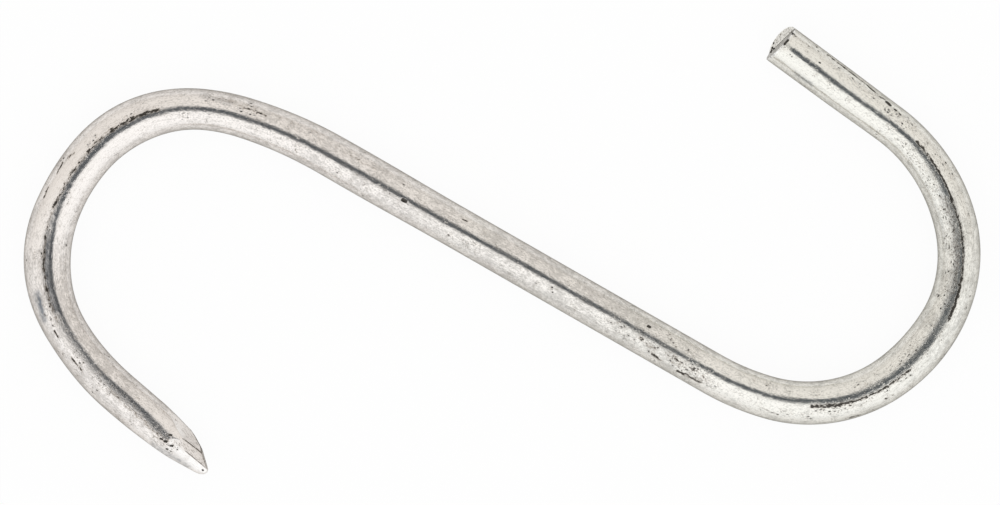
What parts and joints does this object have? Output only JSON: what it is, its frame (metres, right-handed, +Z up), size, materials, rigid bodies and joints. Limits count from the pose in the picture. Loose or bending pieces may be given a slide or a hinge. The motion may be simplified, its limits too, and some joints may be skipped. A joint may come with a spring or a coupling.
{
  "type": "butcher's s hook",
  "caption": "S-shaped hook of round tinned steel bar, with a ground point on one end and a sheared blunt end on the other.",
  "frame": {"origin": "centre of the hook's bounding box in plan, on the surface that it lies on", "axes": "+X along the hook's length towards the blunt-ended hook, +Y across it towards the side where the blunt end stands, +Z up through the bar's thickness"},
  "size_m": [0.1804, 0.0844, 0.0079],
  "materials": {
    "tinned_steel": "hot-dip tinned, glossy, with fine pits and drawing lines"
  },
  "bodies": {
    "root": {"s_hook": "tinned_steel"}
  },
  "joints": []
}
